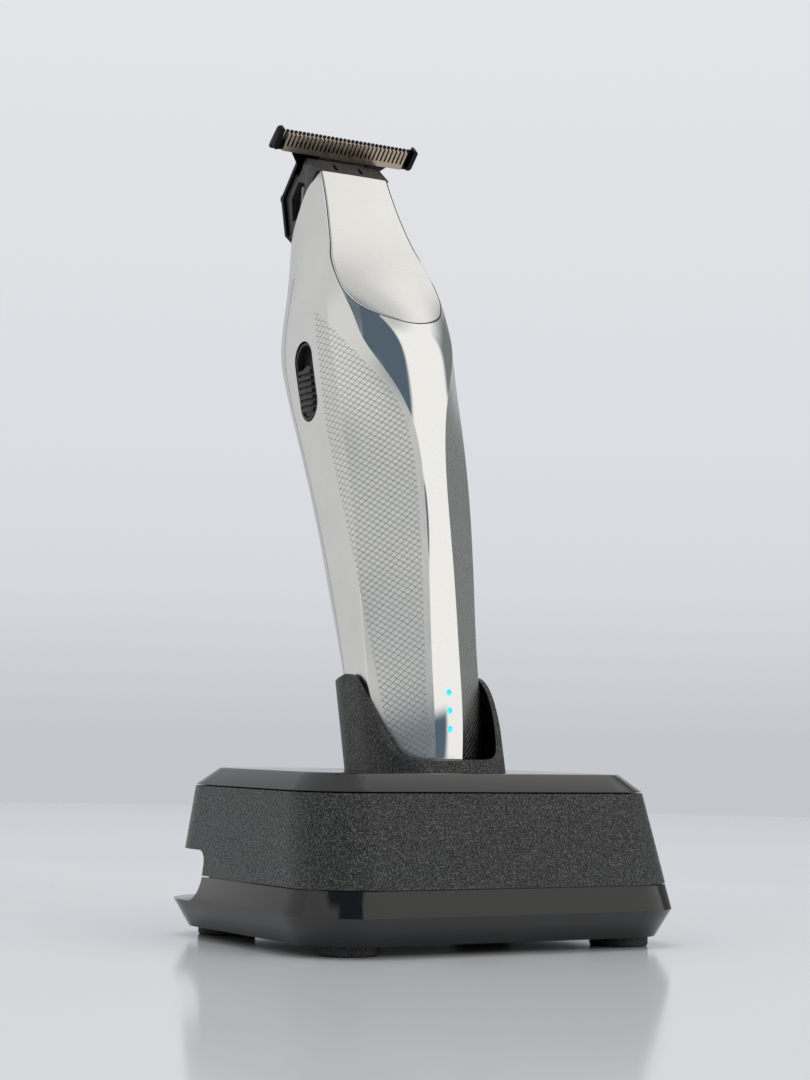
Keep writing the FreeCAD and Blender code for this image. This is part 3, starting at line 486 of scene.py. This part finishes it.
def flank_curve(panel, wide, back, rear):
    """Right side of a section, from the panel's end round to the middle of the back."""
    points = [panel, wide, back, (back[0] * 0.62, rear - 0.75), (0.0, rear)]
    tangents = [((wide[0] - panel[0]) * 1.5, (wide[1] - panel[1]) * 0.9)]
    for before, after in zip(points, points[2:]):
        tangents.append(((after[0] - before[0]) * 0.5, (after[1] - before[1]) * 0.5))
    tangents.append((-back[0] * 0.62, 0.0))
    tangents[1] = (0.0, tangents[1][1])
    return hermite(points, tangents, 14)


def split_at(points, depth):
    """Cut a side curve in two where it first passes a depth."""
    for i, (a, b) in enumerate(zip(points, points[1:])):
        if b[1] >= depth > a[1]:
            t = (depth - a[1]) / (b[1] - a[1])
            cut = (a[0] + (b[0] - a[0]) * t, depth)
            return points[:i + 1] + [cut], [cut] + points[i + 1:]
    raise ValueError("the seam misses the section")


def section(height):
    """Front half (ridge, panel) and flank of one section's right side."""
    values = [column(height) for column in COLUMNS]
    ridge_x, edge_v, mid_v, panel_x, panel_v, wide_x, wide_v, back_x, back_v, rear = values
    ridge = ridge_curve(ridge_x, edge_v, mid_v)
    length = math.hypot(panel_x - ridge_x, panel_v - edge_v)
    along = ((panel_x - ridge_x) / length, (panel_v - edge_v) / length)
    panel = [(ridge_x + along[0] * place, edge_v + along[1] * place)
             for place in panel_places(length, height)]
    flank = flank_curve((panel_x, panel_v), (wide_x, wide_v), (back_x, back_v), rear)
    return ridge + panel, flank, (wide_x, mid_v, rear)


def drawn_in(points, height):
    """Round the lower end by drawing its points towards the middle."""
    amount = 0.0
    if height < ROUND:
        amount = ROUND - math.sqrt(ROUND ** 2 - (ROUND - height) ** 2)
    result = []
    for x, v in points:
        reach = math.hypot(x, v + 3.0)
        result.append((x - amount * x / reach, v - amount * (v + 3.0) / reach))
    return result


def to_frame(x, v, w):
    """From the trimmer's own millimetres to the object's frame in metres."""
    y = w * math.sin(LEAN) + v * math.cos(LEAN)
    z = w * math.cos(LEAN) - v * math.sin(LEAN)
    return Vector((x, DOCK[1] + y, DOCK[2] + z)) * MM


def inner_point(x, v, w):
    """Matching point on the inside of the wall."""
    wide_x, mid_v, rear = section(w)[2]
    centre, half = (mid_v + rear) / 2, (rear - mid_v) / 2
    return (x * (wide_x - WALL) / wide_x, centre + (v - centre) * (half - WALL) / half,
            WALL + w * (BODY_TOP - WALL) / BODY_TOP)


def row_heights(top):
    heights = [0.0, 0.1, 0.35, 0.8, ROUND]
    steps = int((top - 2.0) / 0.75)
    heights += [2.0 + (top - 2.0) * k / steps for k in range(steps + 1)]
    return heights


class Wall:
    """Collects an outer skin, then gives it an inside and rims."""

    def __init__(self):
        self.points = []
        self.faces = []
        self.zones = []

    def row(self, points, height):
        """Add a row of section points and return their numbers."""
        start = len(self.points)
        self.points += [(x, v, height) for x, v in points]
        return list(range(start, len(self.points)))

    def strip(self, low, high, zones=None):
        for j in range(len(low) - 1):
            self.faces.append((low[j], low[j + 1], high[j + 1], high[j]))
            self.zones.append(zones[j] if zones else SATIN)

    def cap(self, row, centre_v):
        """Close the lower end from its outline to the middle of its straight side."""
        outline = [self.points[k][:2] for k in row]
        previous = row
        for share in (0.93, 0.75, 0.5, 0.25):
            ring = self.row([(x * share, centre_v + (v - centre_v) * share) for x, v in outline], 0.0)
            self.strip(ring, previous)
            previous = ring
        middle = self.row([(0.0, centre_v)], 0.0)[0]
        for a, b in zip(previous, previous[1:]):
            self.faces.append((middle, a, b))
            self.zones.append(SATIN)

    def mesh(self, name):
        outer = [to_frame(*p) for p in self.points]
        inner = [to_frame(*inner_point(*p)) for p in self.points]
        shift = len(outer)
        faces = list(self.faces)
        faces += [tuple(k + shift for k in reversed(face)) for face in self.faces]
        used = {}
        for face in self.faces:
            for a, b in zip(face, face[1:] + face[:1]):
                key = (min(a, b), max(a, b))
                used[key] = None if key in used else (a, b)
        rims = [edge for edge in used.values() if edge]
        faces += [(b, a, a + shift, b + shift) for a, b in rims]
        mesh = bpy.data.meshes.new(name)
        mesh.from_pydata([tuple(p) for p in outer + inner], [], faces)
        zones = self.zones + [SATIN] * (len(faces) - len(self.zones))
        mesh.polygons.foreach_set("material_index", zones)
        bm = bmesh.new()
        bm.from_mesh(mesh)
        bmesh.ops.recalc_face_normals(bm, faces=bm.faces)
        bm.to_mesh(mesh)
        bm.free()
        return mesh


def mirrored(right):
    """A whole row, from the left side to the right, out of its right half."""
    return [(-x, v) for x, v in reversed(right[1:])] + right


def front_row(height):
    front, flank, _ = section(height)
    side, _ = split_at(flank, seam_depth(height) - HALF_GAP)
    half = drawn_in(front + resample(side, SIDE_POINTS)[1:], height)
    return mirrored(half)


def rear_row(height, gap):
    """Right to left round the back, from a seam edge to the other."""
    _, flank, _ = section(height)
    _, rear = split_at(flank, seam_depth(height) + gap)
    half = drawn_in(resample(rear, REAR_POINTS), height)
    return half + [(-x, v) for x, v in reversed(half[:-1])]


def front_zones(height):
    half = [RIDGE] * (RIDGE_POINTS - 1) + [SATIN] * MARGIN_POINTS
    inside = LATTICE_LOW <= height < LATTICE_TOP
    half += [LATTICE if inside else SATIN] * LATTICE_POINTS
    half += [LATTICE if inside else SATIN] * (END_POINTS + ROUND_THE_SIDE)
    half += [SATIN] * (SIDE_POINTS - 1 - ROUND_THE_SIDE)
    return list(reversed(half)) + half


def housing_wall():
    wall = Wall()
    heights = row_heights(BODY_TOP)
    neck = min(range(len(heights)), key=lambda i: abs(heights[i] - BACK_TOP))
    previous, previous_rear = None, None
    for i, height in enumerate(heights):
        row = wall.row(front_row(height), height)
        if previous:
            wall.strip(previous, row, front_zones((heights[i - 1] + height) / 2))
        else:
            wall.cap(row, seam_depth(0.0) - HALF_GAP)
        previous = row
        if i >= neck:
            rear = rear_row(height, -HALF_GAP)
            rear_ids = [row[-1]] + wall.row(rear[1:-1], height) + [row[0]]
            if previous_rear:
                wall.strip(previous_rear, rear_ids)
            previous_rear = rear_ids
    return wall


def back_wall():
    wall = Wall()
    previous = None
    for height in row_heights(BACK_TOP - 2 * HALF_GAP):
        row = wall.row(rear_row(height, HALF_GAP), height)
        if previous:
            wall.strip(previous, row)
        else:
            wall.cap(row, seam_depth(0.0) + HALF_GAP)
        previous = row
    return wall


# ------------------------------------------------------------------ the faceplate
FACE_PROUD = 0.22
FACE_THICK = 1.2
FACE_ROLL = 0.3


def face_outline(gap):
    """Right half of the outline, dense; gap pushes it outwards."""
    tangents = [(6.0, 0.0)]
    for before, after in zip(FACE_EDGE, FACE_EDGE[2:]):
        tangents.append(((after[0] - before[0]) * 0.5, (after[1] - before[1]) * 0.5))
    tangents.append((-0.3, 6.0))
    curve = resample(hermite(FACE_EDGE, tangents, 24), 90)
    result = []
    for k, (x, w) in enumerate(curve):
        ax, aw = curve[max(k - 1, 0)]
        bx, bw = curve[min(k + 1, len(curve) - 1)]
        run = math.hypot(bx - ax, bw - aw)
        result.append((x + gap * (bw - aw) / run if k else 0.0, w - gap * (bx - ax) / run))
    return result


def surface_depth(x, w):
    """Depth of the body's front at a place across it and up it."""
    points = section(min(max(w, 0.0), BODY_TOP))[0]
    x = abs(x)
    for a, b in zip(points, points[1:]):
        if a[0] <= x <= b[0]:
            t = (x - a[0]) / ((b[0] - a[0]) or 1.0)
            return a[1] + (b[1] - a[1]) * t
    return points[-1][1]


def faceplate_mesh():
    """Plate lying in the front of the head, slightly proud, its edge rolled."""
    steps = 28
    places = [math.sin(math.pi / 2 * k / steps) for k in range(-steps, steps + 1)]
    rings = ((0.0, FACE_THICK), (0.0, -FACE_PROUD + FACE_ROLL), (0.06, -FACE_PROUD + 0.13),
             (0.16, -FACE_PROUD + 0.03), (FACE_ROLL, -FACE_PROUD))
    bm = bmesh.new()
    outlines = [[(x, w, lift) for x, w in face_outline(-inset)] for inset, lift in rings]

    def ring_points(half):
        return [(-x, w, lift) for x, w, lift in reversed(half[1:])] + half

    def add(x, w, lift):
        return bm.verts.new(to_frame(x, surface_depth(x, w) + lift, w))

    def fill(half, loop, order):
        """Close the front or the back with rows across, each from edge to edge."""
        middle = len(half) - 1
        rows = []
        for left, right, (x, w, lift) in zip(loop[:middle][::-1], loop[middle + 1:], half[1:]):
            rows.append([left] + [add(x * place, w, lift) for place in places[1:-1]] + [right])
        for pair in zip(rows[0], rows[0][1:]):
            bm.faces.new((loop[middle], pair[order[0]], pair[order[1]]))
        for low, high in zip(rows, rows[1:]):
            for j in range(len(low) - 1):
                corners = (low[j], low[j + 1], high[j + 1], high[j])
                bm.faces.new([corners[k] for k in order])

    loops = [[add(*p) for p in ring_points(half)] for half in outlines]
    for low, high in zip(loops, loops[1:]):
        for j in range(len(low) - 1):
            bm.faces.new((low[j], low[j + 1], high[j + 1], high[j]))
    fill(outlines[-1], loops[-1], (0, 1, 2, 3))
    fill(outlines[0], loops[0], (1, 0, 3, 2))
    rim = [e for e in bm.edges if len(e.link_faces) == 1]
    bmesh.ops.holes_fill(bm, edges=rim, sides=0)
    bmesh.ops.recalc_face_normals(bm, faces=bm.faces)
    mesh = bpy.data.meshes.new("faceplate")
    bm.to_mesh(mesh)
    bm.free()
    return mesh


# ------------------------------------------------------------------ new pieces
def link(name, mesh):
    item = bpy.data.objects.new(name, mesh)
    bpy.context.scene.collection.objects.link(item)
    return item


def finish_piece(item, body, node):
    """Hand a piece to its body, in place of the CAD node whose finish it takes."""
    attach(item, body)
    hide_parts(node)


def stadium(half_long, half_wide, steps=20):
    """Outline of a slot with round ends, long way second."""
    straight = half_long - half_wide
    points = []
    for turn, sign in ((0.0, 1), (math.pi, -1)):
        for k in range(steps + 1):
            angle = turn + math.pi * k / steps
            points.append((half_wide * math.cos(angle), sign * straight + half_wide * math.sin(angle)))
    return points


def circle(radius, steps=28):
    return [(radius * math.cos(2 * math.pi * k / steps), radius * math.sin(2 * math.pi * k / steps))
            for k in range(steps)]


def add_prism(bm, low, high):
    """Closed prism between two matching outlines of frame points."""
    rings = [[bm.verts.new(point) for point in ring] for ring in (low, high)]
    count = len(low)
    for j in range(count):
        k = (j + 1) % count
        bm.faces.new((rings[0][j], rings[0][k], rings[1][k], rings[1][j]))
    bm.faces.new(rings[0][::-1])
    bm.faces.new(rings[1])


def cut_away(item, prisms):
    """Take prisms out of a piece and keep its finishes."""
    bm = bmesh.new()
    for low, high in prisms:
        add_prism(bm, low, high)
    bmesh.ops.recalc_face_normals(bm, faces=bm.faces)
    mesh = bpy.data.meshes.new("cutter")
    bm.to_mesh(mesh)
    bm.free()
    tool = link("cutter", mesh)
    modifier = item.modifiers.new("cut", "BOOLEAN")
    modifier.operation = "DIFFERENCE"
    modifier.solver = "EXACT"
    modifier.object = tool
    apply_modifiers(item)
    bpy.data.objects.remove(tool)
    bpy.data.meshes.remove(mesh)


def apply_modifiers(item):
    view = bpy.context.evaluated_depsgraph_get()
    made = bpy.data.meshes.new_from_object(item.evaluated_get(view))
    old = item.data
    item.modifiers.clear()
    item.data = made
    bpy.data.meshes.remove(old)


def set_shading(mesh, angle, crisp_zone=None):
    """Smooth shading with crisp edges by angle and round a zone of faces."""
    bm = bmesh.new()
    bm.from_mesh(mesh)
    limit = math.radians(angle)
    for face in bm.faces:
        face.smooth = True
    for edge in bm.edges:
        crisp = len(edge.link_faces) == 2 and edge.calc_face_angle(0.0) > limit
        if crisp_zone is not None and len(edge.link_faces) == 2:
            zones = {face.material_index for face in edge.link_faces}
            if crisp_zone in zones and len(zones) == 2 and edge.calc_face_angle(0.0) > math.radians(9):
                crisp = True
        edge.smooth = not crisp
    bm.to_mesh(mesh)
    bm.free()


def half_space_above_cut():
    """Block over the slanted top of the housing."""
    (v0, w0), (v1, w1) = TOP_CUT
    slope = (w1 - w0) / (v1 - v0)
    corners = [(-30.0, w0 + slope * (-30.0 - v0)), (40.0, w0 + slope * (40.0 - v0)),
               (40.0, 230.0), (-30.0, 230.0)]
    return [[to_frame(x, v, w) for v, w in corners] for x in (-40.0, 40.0)]


def face_opening():
    """Prism through the front of the head, a little wider than the faceplate."""
    right = face_outline(0.25)
    outline = [(-x, w) for x, w in reversed(right[1:])] + right
    outline += [(right[-1][0], 175.0), (-right[-1][0], 175.0)]
    return [[to_frame(x, v, w) for x, w in outline] for v in (-40.0, 4.5)]


def slot_opening(half_long, half_wide):
    """Prism through the left flank for the switch."""
    depth, height = SWITCH_PLACE
    outline = stadium(half_long, half_wide)
    return [[to_frame(x, depth + a, height + b) for a, b in outline] for x in (-30.0, -9.0)]


def round_hole(radius, place, low, high, upright):
    """Cylinder along the body's height (upright) or its depth."""
    rings = []
    for end in (low, high):
        ring = []
        for a, b in circle(radius):
            if upright:
                ring.append(to_frame(place[0] + a, place[1] + b, end))
            else:
                ring.append(to_frame(place[0] + a, end, place[1] + b))
        rings.append(ring)
    return rings


def build_housing():
    item = link("housing_shell", housing_wall().mesh("housing_shell"))
    for slot in ("housing_metal", "ridge_polished", "panel_lattice"):
        item.data.materials.append(MATERIALS[slot])
    cut_away(item, [half_space_above_cut()])
    holes = [slot_opening(10.0, 4.5)]
    holes += [round_hole(0.72, (0.0, height), -22.0, -8.0, False) for height in LED_HEIGHTS]
    holes += [round_hole(2.15, place, -2.0, 4.0, True) for place in CONTACT_PLACES]
    cut_away(item, holes)
    cut_away(item, [face_opening()])
    set_shading(item.data, 32, RIDGE)
    finish_piece(item, "trimmer", "trimmer_housing")


def build_back():
    item = link("back_shell", back_wall().mesh("back_shell"))
    item.data.materials.append(MATERIALS["back_shell_metal"])
    set_shading(item.data, 32)
    finish_piece(item, "trimmer", "trimmer_back_shell")


def build_faceplate():
    item = link("faceplate", faceplate_mesh())
    item.data.materials.append(MATERIALS["face_metal"])
    cut_away(item, [half_space_above_cut()])
    set_shading(item.data, 40)
    finish_piece(item, "trimmer", "trimmer_faceplate")


def rounded_copy(name, node, body, width, angle=30.0, segments=3):
    """A CAD piece again, with its sharp edges rounded."""
    mesh = frame["nodes"][node].data.copy()
    bm = bmesh.new()
    bm.from_mesh(mesh)
    bmesh.ops.remove_doubles(bm, verts=bm.verts, dist=1e-6)
    bmesh.ops.dissolve_limit(bm, angle_limit=math.radians(0.6), verts=bm.verts, edges=bm.edges)
    bm.to_mesh(mesh)
    bm.free()
    item = link(name, mesh)
    bevel = item.modifiers.new("round", "BEVEL")
    bevel.width = width * MM
    bevel.segments = segments
    bevel.limit_method = "ANGLE"
    bevel.angle_limit = math.radians(angle)
    bevel.use_clamp_overlap = True
    apply_modifiers(item)
    set_shading(item.data, 35)
    finish_piece(item, body, node)
    return item


def line_cradle(item):
    """Give the inside of the cradle its smooth finish, its colour painted darker than the outside as painted
    shade inside the cup.
    """
    item.data.materials.append(MATERIALS["cradle_inner"])
    half_x, half_v, middle, corner = 16.6, 12.25, -2.45, 9.2
    cos, sin = math.cos(LEAN), math.sin(LEAN)
    for face in item.data.polygons:
        place = face.center / MM - Vector(DOCK)
        v, w = place.y * cos - place.z * sin, place.y * sin + place.z * cos
        out_x = max(abs(place.x) - (half_x - corner), 0.0)
        out_v = max(abs(v - middle) - (half_v - corner), 0.0)
        if w > -0.5 and math.hypot(out_x, out_v) < corner + 0.12:
            face.material_index = 1


def add_tongue(ring):
    """Rim behind the open line between the ring and the wall, ending at the cable bay."""
    half_x, half_y, corner, thick = 46.6, 36.7, 13.0, 0.7
    low, high, bay_edge = 12.7, 15.1, 15.6
    rows = []
    for inset in (0.0, thick):
        outline = []
        for turn in range(4):
            cx = (half_x - corner) * (1, -1, -1, 1)[turn]
            cy = (half_y - corner) * (1, 1, -1, -1)[turn]
            for k in range(13):
                angle = math.pi / 2 * (turn + k / 12)
                outline.append((cx + (corner - inset) * math.cos(angle),
                                cy + (corner - inset) * math.sin(angle)))
        rows.append(outline)
    bm = bmesh.new()
    bm.from_mesh(ring.data)
    keep = [k for k, (_, y) in enumerate(rows[0]) if y < 0.0]
    start, end = [[(row[k][0], bay_edge) for row in rows] for k in (keep[0], keep[-1])]
    path = [start] + [(rows[0][k], rows[1][k]) for k in keep] + [end]
    loops = [[bm.verts.new(Vector((x, y + STAND_Y, z)) * MM)
              for (x, y), z in ((outer, low), (outer, high), (inner, high), (inner, low))]
             for outer, inner in path]
    for before, after in zip(loops, loops[1:]):
        for j in range(4):
            k = (j + 1) % 4
            bm.faces.new((before[j], before[k], after[k], after[j]))
    bm.faces.new(loops[0][::-1])
    bm.faces.new(loops[-1])
    bmesh.ops.recalc_face_normals(bm, faces=bm.faces)
    bm.to_mesh(ring.data)
    bm.free()


build_housing()
build_back()
build_faceplate()
rounded_copy("stand_case", "stand_body", "stand", 0.35)
rounded_copy("stand_cap", "stand_top_bezel", "stand", 0.3)
add_tongue(rounded_copy("stand_ring", "stand_lower_ring", "stand", 0.3))
line_cradle(rounded_copy("cradle", "charging_cradle", "stand", 0.35))
rounded_copy("blade_head", "blade_holder", "trimmer", 0.25)
rounded_copy("toothed_blade", "fixed_blade", "trimmer", 0.1)
rounded_copy("thumb_slider", "switch_slider", "switch", 0.15)
rounded_copy("switch_ring", "switch_bezel", "trimmer", 0.12)


# ------------------------------------------------------------------ floor, backdrop and light
def floor_material():
    n = Nodes("floor_white")
    ripple = n.noise(n.mapped(), 6.0, 2.0)
    n.bump(n.noise(n.mapped(), 25.0, 2.0), 0.03, 0.0003)
    n.set(color=n.ramp(ripple, ((0.3, (0.6, 0.61, 0.63)), (0.7, (0.63, 0.64, 0.66)))),
          rough=0.12, specular=0.32)
    return n.material


def add_stage():
    forward = Vector((math.sin(CAMERA_YAW), math.cos(CAMERA_YAW), 0))
    right = Vector((math.cos(CAMERA_YAW), -math.sin(CAMERA_YAW), 0))
    base = Vector((CAMERA_PLACE[0] * MM, CAMERA_PLACE[1] * MM, 0.0))
    near, far, half = -2.0, 1.46, 3.0
    mesh = bpy.data.meshes.new("floor")
    corners = [base + forward * along + right * side
               for along, side in ((near, -half), (near, half), (far, half), (far, -half))]
    mesh.from_pydata([tuple(c) for c in corners], [], [(0, 1, 2, 3)])
    mesh.materials.append(floor_material())
    link("floor", mesh)


def add_area(name, place, target, width, height, power, colour=(1.0, 1.0, 1.0)):
    data = bpy.data.lights.new(name, "AREA")
    data.shape = "RECTANGLE"
    data.size = width
    data.size_y = height
    data.energy = power
    data.color = colour
    light = bpy.data.objects.new(name, data)
    bpy.context.scene.collection.objects.link(light)
    light.location = place
    light.rotation_euler = (Vector(target) - Vector(place)).to_track_quat("-Z", "Y").to_euler()
    light.visible_glossy = False


class Sky:
    """Studio surroundings by direction: azimuth from the front, left positive, and height."""

    def __init__(self):
        world = bpy.data.worlds.new("world")
        bpy.context.scene.world = world
        world.use_nodes = True
        self.tree = world.node_tree
        self.background = self.tree.nodes["Background"]
        source = self.tree.nodes.new("ShaderNodeTexCoord").outputs["Generated"]
        split = self.tree.nodes.new("ShaderNodeSeparateXYZ")
        self.tree.links.new(source, split.inputs[0])
        x, y, z = split.outputs
        left = self.math("MULTIPLY", x, -1.0)
        front = self.math("MULTIPLY", y, -1.0)
        self.azimuth = self.math("ARCTAN2", left, front)
        self.height = self.math("ARCSINE", z)

    def math(self, operation, a, b=0.0):
        node = self.tree.nodes.new("ShaderNodeMath")
        node.operation = operation
        for socket, value in zip(node.inputs, (a, b)):
            if hasattr(value, "is_output"):
                self.tree.links.new(value, socket)
            else:
                socket.default_value = value
        return node.outputs[0]

    def step(self, value, low, high):
        """0 below low and 1 above high, in degrees, smooth between."""
        node = self.tree.nodes.new("ShaderNodeMapRange")
        node.interpolation_type = "SMOOTHSTEP"
        self.tree.links.new(value, node.inputs["Value"])
        node.inputs["From Min"].default_value = math.radians(low)
        node.inputs["From Max"].default_value = math.radians(high)
        return node.outputs[0]

    def patch(self, start, end, soft, low=None, high=None, soft_high=6.0):
        """1 inside an azimuth range and a height range, in degrees."""
        inside = self.math("MULTIPLY", self.step(self.azimuth, start - soft, start + soft),
                           self.math("SUBTRACT", 1.0, self.step(self.azimuth, end - soft, end + soft)))
        if low is not None:
            inside = self.math("MULTIPLY", inside,
                               self.step(self.height, low - soft_high, low + soft_high))
        if high is not None:
            inside = self.math("MULTIPLY", inside, self.math(
                "SUBTRACT", 1.0, self.step(self.height, high - soft_high, high + soft_high)))
        return inside

    def mix(self, factor, below, above):
        node = self.tree.nodes.new("ShaderNodeMix")
        node.data_type = "RGBA"
        self.tree.links.new(factor, node.inputs[0])
        for socket, value in ((node.inputs[6], below), (node.inputs[7], above)):
            if isinstance(value, tuple):
                socket.default_value = (*value, 1.0)
            else:
                self.tree.links.new(value, socket)
        return node.outputs[2]

    def scale(self, value, stops):
        """Colours along a height in degrees."""
        low, high = stops[0][0], stops[-1][0]
        spread = self.tree.nodes.new("ShaderNodeMapRange")
        self.tree.links.new(value, spread.inputs["Value"])
        spread.inputs["From Min"].default_value = math.radians(low)
        spread.inputs["From Max"].default_value = math.radians(high)
        ramp = self.tree.nodes.new("ShaderNodeValToRGB")
        self.tree.links.new(spread.outputs[0], ramp.inputs["Fac"])
        elements = ramp.color_ramp.elements
        while len(elements) < len(stops):
            elements.new(0.5)
        for element, (height, colour) in zip(elements, stops):
            element.position = (height - low) / (high - low)
            element.color = (*colour, 1.0)
        return ramp.outputs["Color"]


def add_world():
    sky = Sky()
    wall, white, dusk = (0.56, 0.58, 0.61), (0.97, 0.96, 0.93), (0.095, 0.135, 0.17)
    zenith, shadow = (0.6, 0.6, 0.59), (0.19, 0.205, 0.2)
    look = sky.mix(sky.patch(-86, 2, 3), wall, white)
    look = sky.mix(sky.patch(-150, 2, 6, low=40), look, white)
    look = sky.mix(sky.patch(44, 172, 4), look, (0.66, 0.665, 0.655))
    look = sky.mix(sky.patch(44, 104, 6), look, (0.79, 0.79, 0.77))
    look = sky.mix(sky.step(sky.height, 56, 72), look, zenith)
    look = sky.mix(sky.patch(1, 40, 2, high=52), look, dusk)
    look = sky.mix(sky.patch(1, 60, 3, low=28, high=52), look, dusk)
    look = sky.mix(sky.patch(-3, 66, 3, low=33), look, dusk)
    look = sky.mix(sky.patch(-26, 74, 5, high=10.5, soft_high=2), look, dusk)
    look = sky.mix(sky.patch(-127, -90, 3, high=32), look, shadow)
    seen = sky.scale(sky.height, ((-4, (0.54, 0.56, 0.59)), (0, (0.555, 0.575, 0.607)),
                                  (3.5, (0.67, 0.69, 0.725)), (7, (0.708, 0.73, 0.761)),
                                  (18, (0.77, 0.78, 0.81))))
    direct = sky.tree.nodes.new("ShaderNodeLightPath").outputs["Is Camera Ray"]
    look = sky.mix(direct, look, seen)
    sky.tree.links.new(look, sky.background.inputs["Color"])


add_stage()
add_world()
add_area("softbox_top", (-0.1, 0.1, 1.1), (0, 0, 0.05), 1.0, 0.9, 8.0)
add_area("softbox_front", (0.45, -0.9, 0.55), (0, 0, 0.08), 0.8, 0.8, 4.0)
